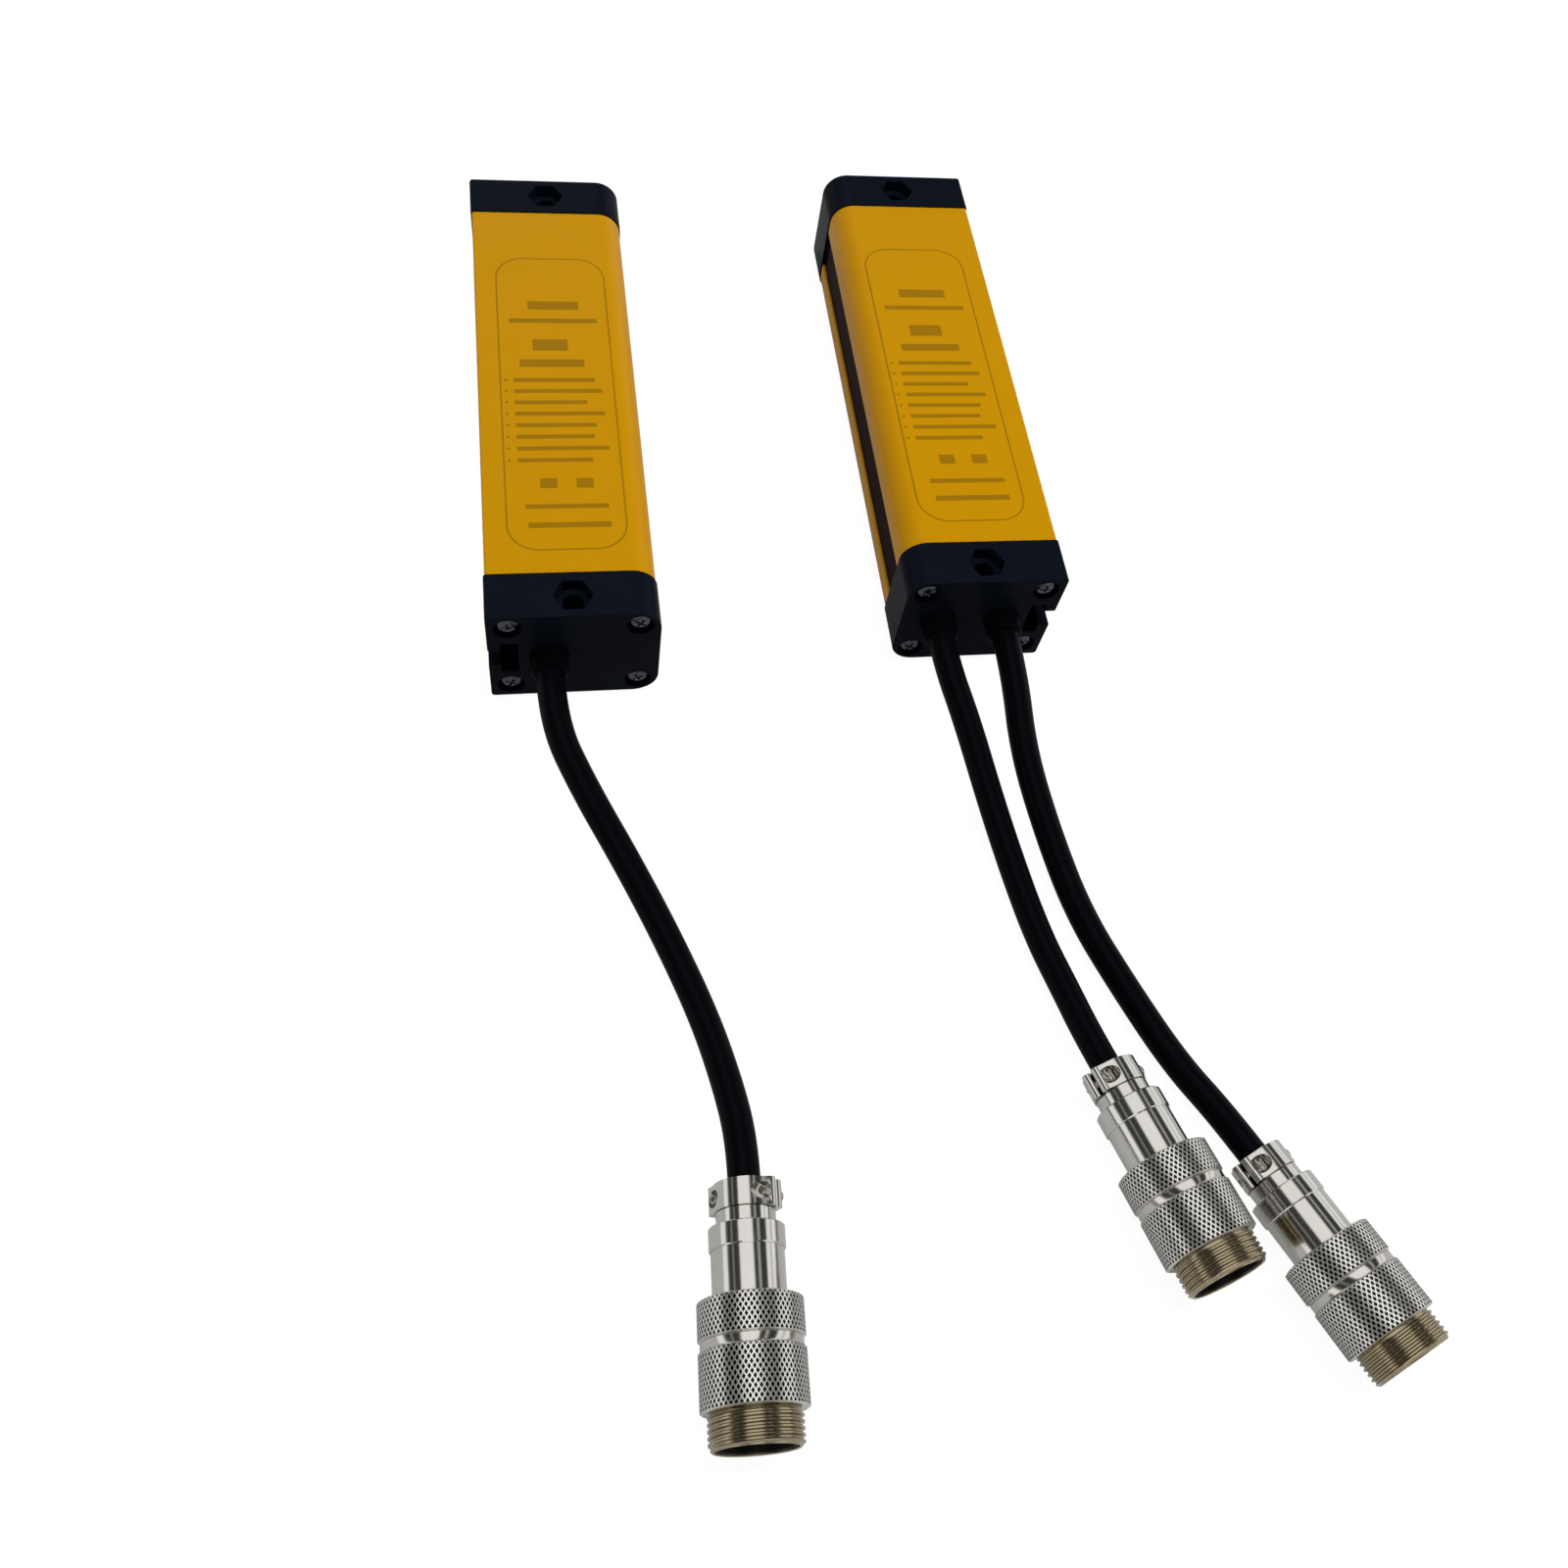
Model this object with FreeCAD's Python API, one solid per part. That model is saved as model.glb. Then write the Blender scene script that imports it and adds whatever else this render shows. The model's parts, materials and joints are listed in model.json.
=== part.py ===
"""Safety light curtain: an emitter bar and a receiver bar with threaded cable connectors.

Millimetres, +Z up. The bars lie flat and parallel, label side up, windows facing each other.
The origin is on the floor, midway between the ends and the sides of the pair.
A bar is first built in its own frame: X across towards the window, Y along from the near end,
Z up from the base. A connector is built along +X from the rear of its cable clamp.
The bolt holes and the bars' front corners are true rounds. The other round pieces have flat
facets, as many as their size asks for, with their corners on the true circle.
"""
import math
import os

import FreeCAD
import Part

Vector = FreeCAD.Vector

# The pair
bar_spacing = 87.5        # between the two bars' centre planes
bar_stagger = 5.31        # how much further away the receiver lies

# Bar section
bar_width = 35.0
bar_height = 28.0
bar_length = 128.0
front_corner_radius = 4.0
back_corner_bevel = 0.8
cap_length = 11.0
skin_step = 0.3           # the caps stand proud of the extrusion by this much
wall = 2.2                # top, bottom and web of the extrusion
fit_clearance = 0.1       # around what slides or drops into place
hole_clearance = 0.15     # around a screw's shank
port_clearance = 0.02     # around a screw's shank in its port, with the thread left out

# T-slot along the back
slot_mouth = 5.0
slot_lip = 2.6
slot_chamber_height = 10.0
slot_depth = 6.1
slot_web = 1.6            # the extrusion's wall between the slot and the cavity

# Window along the front
window_opening = 10.0
window_lip = 1.8
window_thickness = 2.0
window_overlap = 1.0      # how far the window runs behind each lip
rail_thickness = 1.2      # rail that holds the window from behind
rail_overlap = 0.4
window_block_depth = 6.9  # solid corners of the extrusion beside the window

# Screws that hold the caps
screw_inset_x = 4.3       # from the sides of the bar
screw_inset_z = 4.0       # from its top and base
screw_shank_radius = 1.4
screw_head_radius = 2.5
screw_head_height = 1.6
screw_length = 16.0
screw_recess_depth = 2.0
screw_recess_clearance = 0.3

# Bolt holes that mount the bar, one through each cap
bolt_inset = 5.3          # from the end of the bar
bolt_hole_radius = 2.25
nut_across_flats = 7.0
nut_pocket_depth = 3.2

# Cable glands
gland_radius = 3.9
gland_reach = 4.5
gland_seat_depth = 2.0
wire_hole_radius = 2.0
emitter_gland_x = -5.2
receiver_output_gland_x = -5.6
receiver_link_gland_x = 8.9

# Gaskets between the caps and the extrusion
gasket_thickness = 1.0
gasket_rim = 1.2

# Optics and electronics
board_thickness = 1.6
board_groove = 0.7
board_gap = 3.0           # from each end of the board to the caps
board_setback = 3.4       # from the board's front face to the lenses' back faces
beam_pitch = 20.0
lens_size = 8.4
lens_thickness = 1.2
lens_holder_overhang = 2.0
funnel_mouth = 7.4
diode_size = 3.2
diode_height = 1.5
diode_base_height = 0.9
socket_size = (5.0, 9.0, 8.0)
socket_wall = 1.0
lamp_size = 2.5
lamp_height = 2.0
lamp_spacing = 4.0
lamp_inset = 5.8          # from the far end of the board

# Connectors, by distance from the rear of the cable clamp
cable_radius = 2.95
cable_squeeze = 0.15      # how much the clamp and the gland press into the cable's jacket
floor_gap = 0.05          # under the knurl that a connector rests on
clamp_end = 4.8
neck_end = 7.5
band_end = 11.5
barrel_end = 19.5
rear_knurl_end = 26.0
groove_end = 27.6
front_knurl_end = 37.0
thread_end = 42.7
neck_radius = 5.25
band_radius = 6.7
barrel_radius = 6.4
knurl_radius = 9.1
groove_radius = 8.75
thread_radius = 7.95
knurl_chamfer = 0.5
socket_bore_radius = 6.9
barrel_bore_radius = 5.3
spigot_radius = 6.9
spigot_wall = 1.1
spigot_length = 5.0
shell_back_wall = 2.0
insert_face = 38.2
insert_thickness = 6.0
contact_count = 4
contact_circle_radius = 3.2
contact_radius = 0.8
contact_tail = 3.0

# Cable clamp
clamp_radius = 5.6
clamp_split = 0.6         # gap between the saddle and the strap
ear_reach = 6.4
ear_thickness = 1.9
clamp_screw_offset = 4.7
clamp_screw_radius = 0.8
clamp_head_radius = 1.4
clamp_head_height = 1.1
clamp_tip = 1.0           # how far the screws stand out under the saddle
grub_radius = 1.5
grub_offset = 4.6         # from the front edge of the front knurl

# Facets round what is turned or drilled
turned_sides = 12
gland_sides = 10
head_sides = 8
shank_sides = 6
cable_sides = 6

# Each cable's route between its gland and its connector, chosen point by point
emitter_cable_route = [
    (-43.7, -96.6, 11.9), (-36.0, -111.0, 5.9), (-29.5, -126.0, 2.95),
    (-24.0, -142.5, 2.95), (-21.4, -156.7, 6.4),
]
receiver_link_cable_route = [
    (36.8, -86.5, 13.2), (40.6, -103.0, 6.3), (43.6, -119.5, 2.95),
    (45.6, -133.0, 2.95), (48.0, -144.0, 4.0),
]
receiver_output_cable_route = [
    (48.4, -93.5, 11.0), (51.7, -110.5, 5.5), (55.2, -128.0, 2.95),
    (61.0, -144.8, 2.95), (67.4, -160.9, 2.95),
]

# Where each connector's clamp begins, its heading from -Y towards +X, how far its mouth tips up,
# and its roll
connectors = {
    "emitter_connector": ((-20.56, -176.08), -3.99, 3.0, -150.0),
    "receiver_link_connector": ((51.74, -161.81), 14.80, 7.0, -30.0),
    "receiver_output_connector": ((76.75, -181.12), 21.18, 9.0, -30.0),
}

# Each cable's bar, gland, first run, route, connector and last run
cables = {
    "emitter_cable": ("emitter", emitter_gland_x, 11.5, emitter_cable_route, "emitter_connector", 7.8),
    "receiver_link_cable": ("receiver", receiver_link_gland_x, 7.2, receiver_link_cable_route,
                            "receiver_link_connector", 8.0),
    "receiver_output_cable": ("receiver", receiver_output_gland_x, 10.0, receiver_output_cable_route,
                              "receiver_output_connector", 10.0),
}

# Planes and places that follow
mid_height = bar_height / 2
end_gap = cap_length
slot_floor_x = -bar_width / 2 + slot_depth
slot_chamber_x = -bar_width / 2 + slot_lip
cavity_back_x = slot_floor_x + slot_web
cavity_base = skin_step + wall
window_front_x = bar_width / 2 - skin_step - window_lip
window_back_x = window_front_x - window_thickness
rail_back_x = window_back_x - rail_thickness
block_back_x = bar_width / 2 - window_block_depth
window_edge = window_opening / 2 + window_overlap
lens_front_x = window_back_x - fit_clearance
lens_back_x = lens_front_x - lens_thickness
board_front_x = lens_back_x - board_setback
board_back_x = board_front_x - board_thickness
holder_reach = lens_size / 2 + fit_clearance + lens_holder_overhang
lamp_room = lamp_inset + lamp_spacing + lamp_size / 2 + fit_clearance
beam_room = bar_length - 2 * (end_gap + board_gap + lamp_room + holder_reach)
beam_count = 1 + int(beam_room // beam_pitch)
beam_positions = [bar_length / 2 + (i - (beam_count - 1) / 2) * beam_pitch for i in range(beam_count)]
near_y = {"emitter": -(bar_length + bar_stagger) / 2, "receiver": -(bar_length - bar_stagger) / 2}


def box(x0, x1, y0, y1, z0, z1):
    return Part.makeBox(x1 - x0, y1 - y0, z1 - z0, Vector(x0, y0, z0))


def outline_face(points, y):
    """Flat face in the plane Y = y from a closed outline of (x, z) points."""
    corners = [Vector(x, y, z) for x, z in points]
    return Part.Face(Part.makePolygon(corners + corners[:1]))


def mirrored_outline(lower_half):
    """Closed outline from its lower half, mirrored about the bar's mid height."""
    return lower_half + [(x, bar_height - z) for x, z in reversed(lower_half)]


def extruded(points, y0, y1):
    return outline_face(points, y0).extrude(Vector(0, y1 - y0, 0))


def turned(profile):
    """Solid turned about the X axis from a closed profile of (x, radius) points."""
    def ring(i):
        turn = 2 * math.pi * i / turned_sides
        return [Vector(x, r * math.cos(turn), r * math.sin(turn)) for x, r in profile]

    faces = []
    for i in range(turned_sides):
        here = ring(i)
        there = ring(i + 1)
        for k in range(len(profile)):
            quad = [here[k - 1], here[k], there[k], there[k - 1], here[k - 1]]
            faces.append(Part.Face(Part.makePolygon(quad)))
    return Part.Solid(Part.Shell(faces))


def prism(sides, radius, start, direction, length):
    """Regular prism with its corners on a circle, one of them level with its axis."""
    along = Vector(direction).normalize()
    across = Vector(0, 1, 0) if abs(along.x) > 0.5 else Vector(1, 0, 0)
    across = (across - along * across.dot(along)).normalize()
    other = along.cross(across)
    corners = []
    for i in range(sides):
        turn = 2 * math.pi * i / sides
        corners.append(Vector(start) + across * radius * math.cos(turn) + other * radius * math.sin(turn))
    return Part.Face(Part.makePolygon(corners + corners[:1])).extrude(along * length)


def rounded_bar(inset, y0, y1):
    """Bar section with large front corners and small back corners, inset all round."""
    body = box(-bar_width / 2 + inset, bar_width / 2 - inset, y0, y1, inset, bar_height - inset)
    lengthwise = [e for e in body.Edges if abs(e.Vertexes[0].Y - e.Vertexes[1].Y) > (y1 - y0) / 2]
    front = [e for e in lengthwise if e.Vertexes[0].X > 0]
    body = body.makeFillet(front_corner_radius - inset, front)
    back = [e for e in body.Edges if e.BoundBox.XMax < 0 and e.BoundBox.YLength > (y1 - y0) / 2]
    return body.makeChamfer(back_corner_bevel - inset, back)


def slot_tool(y0, y1):
    """T-slot to cut from the back of a bar."""
    mouth = slot_mouth / 2
    chamber = slot_chamber_height / 2
    back = -bar_width / 2 - 1
    lower = [(back, mid_height - mouth), (slot_chamber_x, mid_height - mouth),
             (slot_chamber_x, mid_height - chamber), (slot_floor_x, mid_height - chamber)]
    return extruded(mirrored_outline(lower), y0 - 1, y1 + 1)


def cavity_outline(grow):
    """Lower half of the extrusion's cavity, behind the window, grown outwards."""
    return [(window_front_x + grow, mid_height - window_edge - grow),
            (block_back_x + grow, mid_height - window_edge - grow),
            (block_back_x + grow, cavity_base - grow),
            (cavity_back_x - grow, cavity_base - grow)]


def screw_axes():
    """(x, z) of a cap's four screws."""
    return [(x, z) for x in (-bar_width / 2 + screw_inset_x, bar_width / 2 - screw_inset_x)
            for z in (screw_inset_z, bar_height - screw_inset_z)]


def along_y(sides, radius, x, z, y0, y1):
    return prism(sides, radius, (x, y0, z), (0, 1, 0), y1 - y0)


def housing():
    """Extrusion with the T-slot, the window opening, rails, board grooves and screw ports."""
    y0 = end_gap
    y1 = bar_length - end_gap
    body = rounded_bar(skin_step, y0, y1).cut(slot_tool(y0, y1))
    lip_edge = mid_height - window_opening / 2
    groove_edge = mid_height - window_edge - fit_clearance
    rail_edge = mid_height - window_edge + rail_overlap
    inside = [(bar_width, lip_edge), (window_front_x, lip_edge),
              (window_front_x, groove_edge), (window_back_x - fit_clearance, groove_edge),
              (window_back_x - fit_clearance, rail_edge), (rail_back_x, rail_edge),
              (rail_back_x, groove_edge), (block_back_x, groove_edge), (block_back_x, cavity_base),
              (board_front_x + fit_clearance, cavity_base),
              (board_front_x + fit_clearance, cavity_base - board_groove),
              (board_back_x, cavity_base - board_groove),
              (board_back_x, cavity_base), (cavity_back_x, cavity_base)]
    body = body.cut(extruded(mirrored_outline(inside), y0 - 1, y1 + 1))
    port_radius = screw_shank_radius + port_clearance
    ports = [along_y(shank_sides, port_radius, x, z, y0 - 1, y1 + 1) for x, z in screw_axes()]
    return body.cut(Part.makeCompound(ports))


def window():
    """Dark filter that slides in behind the lips."""
    edge = window_edge
    return box(window_back_x, window_front_x, end_gap, bar_length - end_gap,
               mid_height - edge, mid_height + edge)


def gasket():
    """Rubber ring round the cavity, in a groove of the near cap's inner face."""
    outer = extruded(mirrored_outline(cavity_outline(gasket_rim)), cap_length - gasket_thickness, cap_length)
    inner = extruded(mirrored_outline(cavity_outline(0)), 0, bar_length)
    return outer.cut(inner)


def end_cap(gland_positions):
    """Near cap: screw recesses, a bolt hole under a nut pocket, the slot, and a hole per gland."""
    body = rounded_bar(0, 0, cap_length).cut(slot_tool(0, cap_length))
    tools = [gasket()]
    for x, z in screw_axes():
        recess_radius = screw_head_radius + screw_recess_clearance
        hole_radius = screw_shank_radius + hole_clearance
        tools.append(along_y(head_sides, recess_radius, x, z, -1, screw_recess_depth))
        tools.append(along_y(shank_sides, hole_radius, x, z, 0, cap_length + 1))
    for x in gland_positions:
        tools.append(along_y(gland_sides, gland_radius, x, mid_height, -1, gland_seat_depth))
        tools.append(along_y(shank_sides, wire_hole_radius, x, mid_height, 0, cap_length + 1))
    tools.append(Part.makeCylinder(bolt_hole_radius, bar_height + 2, Vector(0, bolt_inset, -1)))
    nut_radius = nut_across_flats / 2 / math.cos(math.pi / 6)
    pocket_floor = bar_height - nut_pocket_depth
    tools.append(prism(6, nut_radius, (0, bolt_inset, pocket_floor), (0, 0, 1), nut_pocket_depth + 1))
    return body.cut(Part.makeCompound(tools))


def far_end(shape):
    """Copy of a near-end piece turned to face the far end."""
    return shape.mirror(Vector(0, bar_length / 2, 0), Vector(0, 1, 0))


def cap_screws():
    """Pan-head screws of both caps, with their threads left out."""
    screws = []
    for x, z in screw_axes():
        seat = screw_recess_depth
        head = along_y(head_sides, screw_head_radius, x, z, seat - screw_head_height, seat)
        shank = along_y(shank_sides, screw_shank_radius, x, z, seat, seat + screw_length)
        screw = head.fuse(shank)
        screws += [screw, far_end(screw)]
    return Part.makeCompound(screws)


def gland(x):
    """Rubber strain relief pressed into the near cap."""
    bore = cable_radius - cable_squeeze
    outer = along_y(gland_sides, gland_radius, x, mid_height, -gland_reach, gland_seat_depth)
    return outer.cut(along_y(gland_sides, bore, x, mid_height, -gland_reach - 1, gland_seat_depth + 1))


def circuit_board():
    """Upright board held in the extrusion's two grooves."""
    edge = cavity_base - board_groove + fit_clearance
    return box(board_back_x, board_front_x, end_gap + board_gap, bar_length - end_gap - board_gap,
               edge, bar_height - edge)


def board_socket():
    """Wire socket on the back of the board, open towards the near end."""
    depth, length, height = socket_size
    y0 = end_gap + board_gap + 1.0
    z0 = mid_height - height / 2
    body = box(board_back_x - depth, board_back_x, y0, y0 + length, z0, z0 + height)
    t = socket_wall
    return body.cut(box(board_back_x - depth + t, board_back_x - t, y0 - 1, y0 + length - t,
                        z0 + t, z0 + height - t))


def square_frustum(x0, half0, x1, half1, y):
    """Square funnel along X, centred on the beam at y."""
    ends = [[Vector(x, y + a * half, mid_height + b * half) for a, b in ((-1, -1), (1, -1), (1, 1), (-1, 1))]
            for x, half in ((x0, half0), (x1, half1))]
    rings = ends + [[ends[0][i], ends[0][i - 3], ends[1][i - 3], ends[1][i]] for i in range(4)]
    faces = [Part.Face(Part.makePolygon(ring + ring[:1])) for ring in rings]
    return Part.Solid(Part.Shell(faces))


def lens_holder():
    """Strip with a seat and a tapering funnel for each beam."""
    seat = lens_size / 2 + fit_clearance
    edge = window_edge - rail_overlap - fit_clearance
    body = box(board_front_x, lens_front_x, beam_positions[0] - holder_reach,
               beam_positions[-1] + holder_reach, mid_height - edge, mid_height + edge)
    for y in beam_positions:
        body = body.cut(box(lens_back_x, lens_front_x + 1, y - seat, y + seat,
                            mid_height - seat, mid_height + seat))
        body = body.cut(square_frustum(board_front_x, diode_size / 2 + fit_clearance,
                                       lens_back_x, funnel_mouth / 2, y))
    return body


def lenses():
    """Flat stepped lenses, one per beam, with their steps left out."""
    half = lens_size / 2
    return Part.makeCompound([box(lens_back_x, lens_front_x, y - half, y + half,
                                  mid_height - half, mid_height + half) for y in beam_positions])


def infrared_emitters():
    """Square packages with a raised tapering window, one per beam."""
    half = diode_size / 2
    packages = []
    for y in beam_positions:
        base = box(board_front_x, board_front_x + diode_base_height, y - half, y + half,
                   mid_height - half, mid_height + half)
        top = square_frustum(board_front_x + diode_base_height, half * 0.8,
                             board_front_x + diode_height, half * 0.5, y)
        packages.append(base.fuse(top))
    return Part.makeCompound(packages)


def photodiodes():
    """Flat square packages, one per beam."""
    half = diode_size / 2
    return Part.makeCompound([box(board_front_x, board_front_x + diode_base_height, y - half, y + half,
                                  mid_height - half, mid_height + half) for y in beam_positions])


def status_lamps():
    """Two small lamps behind the window, beyond the last beam."""
    last = bar_length - end_gap - board_gap - lamp_inset
    half = lamp_size / 2
    return Part.makeCompound([box(board_front_x, board_front_x + lamp_height, y - half, y + half,
                                  mid_height - half, mid_height + half)
                              for y in (last - lamp_spacing, last)])


def clamp_half(side):
    """Half collar with two ears, above (side 1) or below (side -1) the cable."""
    gap = clamp_split / 2
    ring = prism(gland_sides, clamp_radius, (0, 0, 0), (1, 0, 0), clamp_end)
    z0, z1 = sorted((side * gap, side * 2 * clamp_radius))
    ring = ring.common(box(0, clamp_end, -clamp_radius, clamp_radius, z0, z1))
    z0, z1 = sorted((side * gap, side * (gap + ear_thickness)))
    half = ring.fuse(box(0, clamp_end, -ear_reach, ear_reach, z0, z1))
    bore = cable_radius - cable_squeeze
    return half.cut(prism(gland_sides, bore, (-1, 0, 0), (1, 0, 0), clamp_end + 1)).removeSplitter()


def clamp_screw_holes():
    radius = clamp_screw_radius + port_clearance
    return Part.makeCompound([prism(shank_sides, radius, (clamp_end / 2, y, -2 * clamp_radius), (0, 0, 1),
                                    4 * clamp_radius)
                              for y in (-clamp_screw_offset, clamp_screw_offset)])


def rear_shell():
    """Turned shell with the clamp's saddle on its tail and the rear knurl at its mouth."""
    bore = cable_radius - cable_squeeze
    back = neck_end + shell_back_wall
    spigot_hole = spigot_radius + port_clearance
    shell = turned([(clamp_end, bore), (clamp_end, neck_radius), (neck_end, neck_radius),
                    (neck_end, band_radius), (band_end, band_radius), (band_end, barrel_radius),
                    (barrel_end, barrel_radius), (barrel_end, knurl_radius - knurl_chamfer),
                    (barrel_end + knurl_chamfer, knurl_radius), (rear_knurl_end, knurl_radius),
                    (rear_knurl_end, spigot_hole), (rear_knurl_end - spigot_length, spigot_hole),
                    (rear_knurl_end - spigot_length, barrel_bore_radius), (back, barrel_bore_radius),
                    (back, bore)])
    return shell.fuse(clamp_half(-1).cut(clamp_screw_holes())).removeSplitter()


def socket_body():
    """Turned body with a spigot inside the rear shell, the front knurl and the male thread."""
    spigot_start = rear_knurl_end - spigot_length
    seat = insert_face - insert_thickness
    body = turned([(spigot_start, spigot_radius - spigot_wall), (spigot_start, spigot_radius),
                   (rear_knurl_end, spigot_radius), (rear_knurl_end, groove_radius),
                   (groove_end, groove_radius), (groove_end, knurl_radius),
                   (front_knurl_end, knurl_radius), (front_knurl_end, thread_radius),
                   (thread_end, thread_radius), (thread_end, socket_bore_radius),
                   (seat, socket_bore_radius), (seat, spigot_radius - spigot_wall)])
    hole = prism(shank_sides, grub_radius, (front_knurl_end - grub_offset, 0, 0), (0, 0, 1), knurl_radius)
    return body.cut(hole)


def insert():
    """Insulator that the contacts stand in, against the body's step."""
    start = insert_face - insert_thickness
    disc = prism(turned_sides, socket_bore_radius, (start, 0, 0), (1, 0, 0), insert_thickness)
    return disc.cut(contacts())


def contacts():
    """Contacts on a circle, flush with the insert's face and with solder tails behind."""
    start = insert_face - insert_thickness - contact_tail
    pieces = []
    for i in range(contact_count):
        turn = 2 * math.pi * (i + 0.5) / contact_count
        place = (start, contact_circle_radius * math.cos(turn), contact_circle_radius * math.sin(turn))
        pieces.append(prism(shank_sides, contact_radius, place, (1, 0, 0), insert_thickness + contact_tail))
    return Part.makeCompound(pieces)


def clamp_strap():
    """Upper half collar, cut flat beside the screws' heads."""
    top = clamp_split / 2 + ear_thickness
    flat = clamp_screw_offset - clamp_head_radius - hole_clearance
    sides = [box(-1, clamp_end + 1, flat, ear_reach + 1, top, clamp_radius + 1),
             box(-1, clamp_end + 1, -ear_reach - 1, -flat, top, clamp_radius + 1)]
    return clamp_half(1).cut(clamp_screw_holes()).cut(Part.makeCompound(sides))


def clamp_screws():
    """Two screws through the strap's ears into the saddle."""
    top = clamp_split / 2 + ear_thickness
    length = 2 * top + clamp_tip
    screws = []
    for y in (-clamp_screw_offset, clamp_screw_offset):
        shank = prism(shank_sides, clamp_screw_radius, (clamp_end / 2, y, top - length), (0, 0, 1), length)
        head = prism(head_sides, clamp_head_radius, (clamp_end / 2, y, top), (0, 0, 1), clamp_head_height)
        screws.append(shank.fuse(head))
    return Part.makeCompound(screws)


def grub_screw():
    """Set screw through the front knurl, tight against the insert."""
    height = knurl_radius - knurl_chamfer - socket_bore_radius
    return prism(shank_sides, grub_radius, (front_knurl_end - grub_offset, 0, socket_bore_radius), (0, 0, 1),
                 height)


def connector_seat(connector):
    """Where a connector's axis starts, and its direction, resting on the edge of its rear knurl."""
    (x, y), heading, pitch, _ = connectors[connector]
    turn = math.radians(heading)
    tip = math.radians(pitch)
    height = floor_gap + knurl_radius * math.cos(tip) - barrel_end * math.sin(tip)
    direction = Vector(math.sin(turn) * math.cos(tip), -math.cos(turn) * math.cos(tip), math.sin(tip))
    return Vector(x, y, height), direction


def gland_face(bar, x):
    """Centre of a gland's outer face in the frame of the pair."""
    side = -1 if bar == "emitter" else 1
    return Vector(side * (bar_spacing / 2 - x), near_y[bar] - gland_reach, mid_height)


def cable_points(bar, gland_x, first_run, route, connector, last_run):
    """Whole route: straight out of the gland, the chosen points, straight into the clamp."""
    start = gland_face(bar, gland_x)
    end, direction = connector_seat(connector)
    before = end - direction * last_run
    return [start, start - Vector(0, first_run, 0)] + [Vector(*p) for p in route] + [before, end]


def cable_path(points):
    """Straight runs joined by tangent arcs, and the arcs' radii."""
    edges = []
    radii = []
    here = points[0]
    for before, corner, after in zip(points, points[1:], points[2:]):
        arrive = (corner - before).normalize()
        leave = (after - corner).normalize()
        half_turn = arrive.getAngle(leave) / 2
        reach = 0.45 * min((corner - before).Length, (after - corner).Length)
        radius = reach / math.tan(half_turn)
        middle = corner + (leave - arrive).normalize() * radius * (1 / math.cos(half_turn) - 1)
        edges.append(Part.LineSegment(here, corner - arrive * reach).toShape())
        edges.append(Part.Arc(corner - arrive * reach, middle, corner + leave * reach).toShape())
        here = corner + leave * reach
        radii.append(round(radius, 1))
    edges.append(Part.LineSegment(here, points[-1]).toShape())
    return Part.Wire(edges), radii


def cable(name, points):
    """Plain tube along its route."""
    path, radii = cable_path(points)
    end_face = prism(cable_sides, cable_radius, points[0], points[1] - points[0], 1).Faces
    profile = min(end_face, key=lambda f: f.CenterOfMass.distanceToPoint(points[0])).OuterWire
    tube = path.makePipeShell([profile], True, False, 1)
    section = Part.Face(profile).Area
    print(name, "length", round(path.Length, 1), "arc radii", radii,
          "volume share", round(tube.Volume / (section * path.Length), 4))
    return tube


def seat_bar(bar, shape):
    """Puts a piece of a bar in the frame of the pair; the receiver is the emitter's mirror image."""
    if bar == "receiver":
        shape = shape.mirror(Vector(0, 0, 0), Vector(1, 0, 0))
    side = -1 if bar == "emitter" else 1
    return shape.translated(Vector(side * bar_spacing / 2, near_y[bar], 0))


def seat_connector(connector, shape):
    """Rolls a connector's piece, tips it up, turns it to its heading and lays it at its place."""
    _, heading, pitch, roll = connectors[connector]
    start, _ = connector_seat(connector)
    shape = shape.copy()
    shape.rotate(Vector(0, 0, 0), Vector(1, 0, 0), roll)
    shape.rotate(Vector(0, 0, 0), Vector(0, 1, 0), -pitch)
    shape.rotate(Vector(0, 0, 0), Vector(0, 0, 1), heading - 90)
    return shape.translated(start)


def save(node, shape):
    shape.exportStep("parts/" + node + ".step")
    print(node, "solids", len(shape.Solids), "valid", shape.isValid(), "volume", round(shape.Volume, 1))


def save_bar(bar, own_pieces):
    """Pieces that both bars have, and those of this bar alone."""
    cap_glands = {"emitter": [emitter_gland_x],
                  "receiver": [receiver_output_gland_x, receiver_link_gland_x]}
    pieces = {
        "housing": housing(),
        "window": window(),
        "near_gasket": gasket(),
        "far_gasket": far_end(gasket()),
        "near_cap": end_cap(cap_glands[bar]),
        "far_cap": far_end(end_cap([])),
        "cap_screws": cap_screws(),
        "circuit_board": circuit_board(),
        "board_socket": board_socket(),
        "lens_holder": lens_holder(),
        "lenses": lenses(),
        "status_lamps": status_lamps(),
    }
    pieces.update(own_pieces)
    for name, shape in pieces.items():
        save(bar + "_" + name, seat_bar(bar, shape))


def save_connector(connector):
    pieces = {
        "body": socket_body(),
        "rear_shell": rear_shell(),
        "insert": insert(),
        "contacts": contacts(),
        "clamp_strap": clamp_strap(),
        "clamp_screws": clamp_screws(),
        "grub_screw": grub_screw(),
    }
    for name, shape in pieces.items():
        save(connector + "_" + name, seat_connector(connector, shape))


os.makedirs("parts", exist_ok=True)
save_bar("emitter", {
    "gland": gland(emitter_gland_x),
    "infrared_emitters": infrared_emitters(),
})
save_bar("receiver", {
    "output_gland": gland(receiver_output_gland_x),
    "link_gland": gland(receiver_link_gland_x),
    "photodiodes": photodiodes(),
})
for connector in connectors:
    save_connector(connector)
for name, route in cables.items():
    save(name, cable(name, cable_points(*route)))
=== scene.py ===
"""Looks of a safety light curtain: two yellow bars, black caps, cables and nickel connectors."""
import json
import math

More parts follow.
